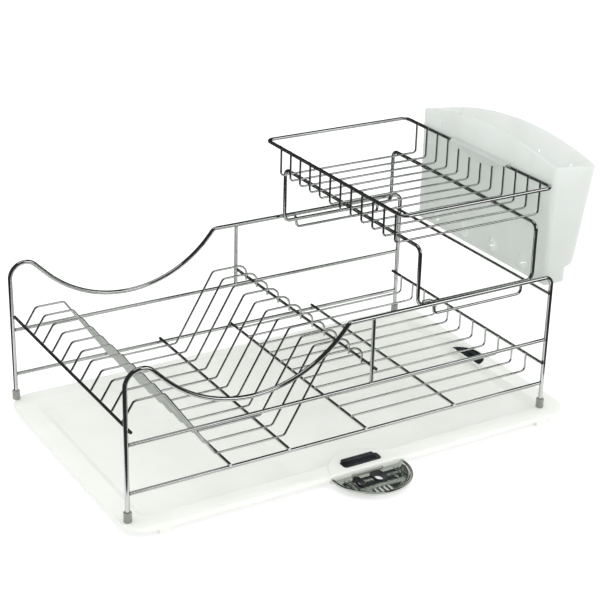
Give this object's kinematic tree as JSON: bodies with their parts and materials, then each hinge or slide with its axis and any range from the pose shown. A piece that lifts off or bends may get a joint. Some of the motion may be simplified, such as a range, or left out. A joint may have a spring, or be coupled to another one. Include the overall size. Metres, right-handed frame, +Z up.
{
  "type": "dish drying rack",
  "caption": "Tiered chrome wire dish rack with plate slots, a raised cup shelf, a hooked-on cutlery holder and a drip tray with a drain spout.",
  "frame": {"origin": "centre of the object's footprint box, on the surface it stands on", "axes": "+X along the rack's length from the plate end to the cutlery end, +Y from the spout side to the far side, +Z up"},
  "size_m": [0.5914, 0.38, 0.3123],
  "materials": {
    "chrome_frame_wire": "polished chrome plating on steel wire",
    "chrome_thin_wire": "polished chrome plating on steel wire",
    "clear_cap_plastic": "translucent grey soft plastic",
    "frosted_tray_plastic": "frosted translucent white plastic",
    "frosted_holder_plastic": "frosted translucent white plastic",
    "chromed_spout": "mirror bright plating",
    "black_rubber": "satin moulded rubber"
  },
  "bodies": {
    "drip_tray": {"drip_tray": "frosted_tray_plastic", "drain_spout": "chromed_spout"},
    "front_drain_gate": {"front_drain_gate": "black_rubber"},
    "end_drain_plug": {"end_drain_plug": "black_rubber"},
    "rack": {"near_side_frame": "chrome_frame_wire", "far_side_frame": "chrome_frame_wire", "near_low_rail": "chrome_frame_wire", "far_low_rail": "chrome_frame_wire", "near_mid_rail": "chrome_frame_wire", "far_mid_rail": "chrome_frame_wire", "near_strut": "chrome_frame_wire", "far_strut": "chrome_frame_wire", "left_end_rod": "chrome_thin_wire", "floor_rod_1": "chrome_thin_wire", "floor_rod_2": "chrome_thin_wire", "floor_rod_3": "chrome_thin_wire", "floor_rod_4": "chrome_thin_wire", "hump_rod": "chrome_thin_wire", "stop_rod": "chrome_thin_wire", "holder_rod": "chrome_thin_wire", "plate_wire_01": "chrome_thin_wire", "plate_wire_02": "chrome_thin_wire", "plate_wire_03": "chrome_thin_wire", "plate_wire_04": "chrome_thin_wire", "plate_wire_05": "chrome_thin_wire", "plate_wire_06": "chrome_thin_wire", "plate_wire_07": "chrome_thin_wire", "plate_wire_08": "chrome_thin_wire", "plate_wire_09": "chrome_thin_wire", "plate_wire_10": "chrome_thin_wire", "plate_wire_11": "chrome_thin_wire", "floor_wire_01": "chrome_thin_wire", "floor_wire_02": "chrome_thin_wire", "floor_wire_03": "chrome_thin_wire", "floor_wire_04": "chrome_thin_wire", "floor_wire_05": "chrome_thin_wire", "floor_wire_06": "chrome_thin_wire", "floor_wire_07": "chrome_thin_wire", "floor_wire_08": "chrome_thin_wire", "floor_wire_09": "chrome_thin_wire", "floor_wire_10": "chrome_thin_wire", "floor_wire_11": "chrome_thin_wire", "near_left_foot_cap": "clear_cap_plastic", "near_right_foot_cap": "clear_cap_plastic", "far_left_foot_cap": "clear_cap_plastic", "far_right_foot_cap": "clear_cap_plastic"},
    "upper_shelf": {"stand_left_frame": "chrome_frame_wire", "stand_right_frame": "chrome_frame_wire", "near_clip_wire": "chrome_thin_wire", "far_clip_wire": "chrome_thin_wire", "shelf_ring": "chrome_frame_wire", "shelf_wires": "chrome_thin_wire"},
    "cutlery_holder": {"cutlery_holder": "frosted_holder_plastic"}
  },
  "joints": [
    {"name": "rack_lift", "type": "slide", "parent": "drip_tray", "child": "rack", "axis": [0, 0, 1], "range_m": [0, 0.15]},
    {"name": "shelf_lift", "type": "slide", "parent": "rack", "child": "upper_shelf", "axis": [0, 0, 1], "range_m": [0, 0.12]},
    {"name": "holder_lift", "type": "slide", "parent": "upper_shelf", "child": "cutlery_holder", "axis": [0, 0, 1], "range_m": [0, 0.17]},
    {"name": "gate_lift", "type": "slide", "parent": "drip_tray", "child": "front_drain_gate", "axis": [0, 0, 1], "range_m": [0, 0.02]},
    {"name": "plug_lift", "type": "slide", "parent": "drip_tray", "child": "end_drain_plug", "axis": [0, 0, 1], "range_m": [0, 0.02]}
  ]
}
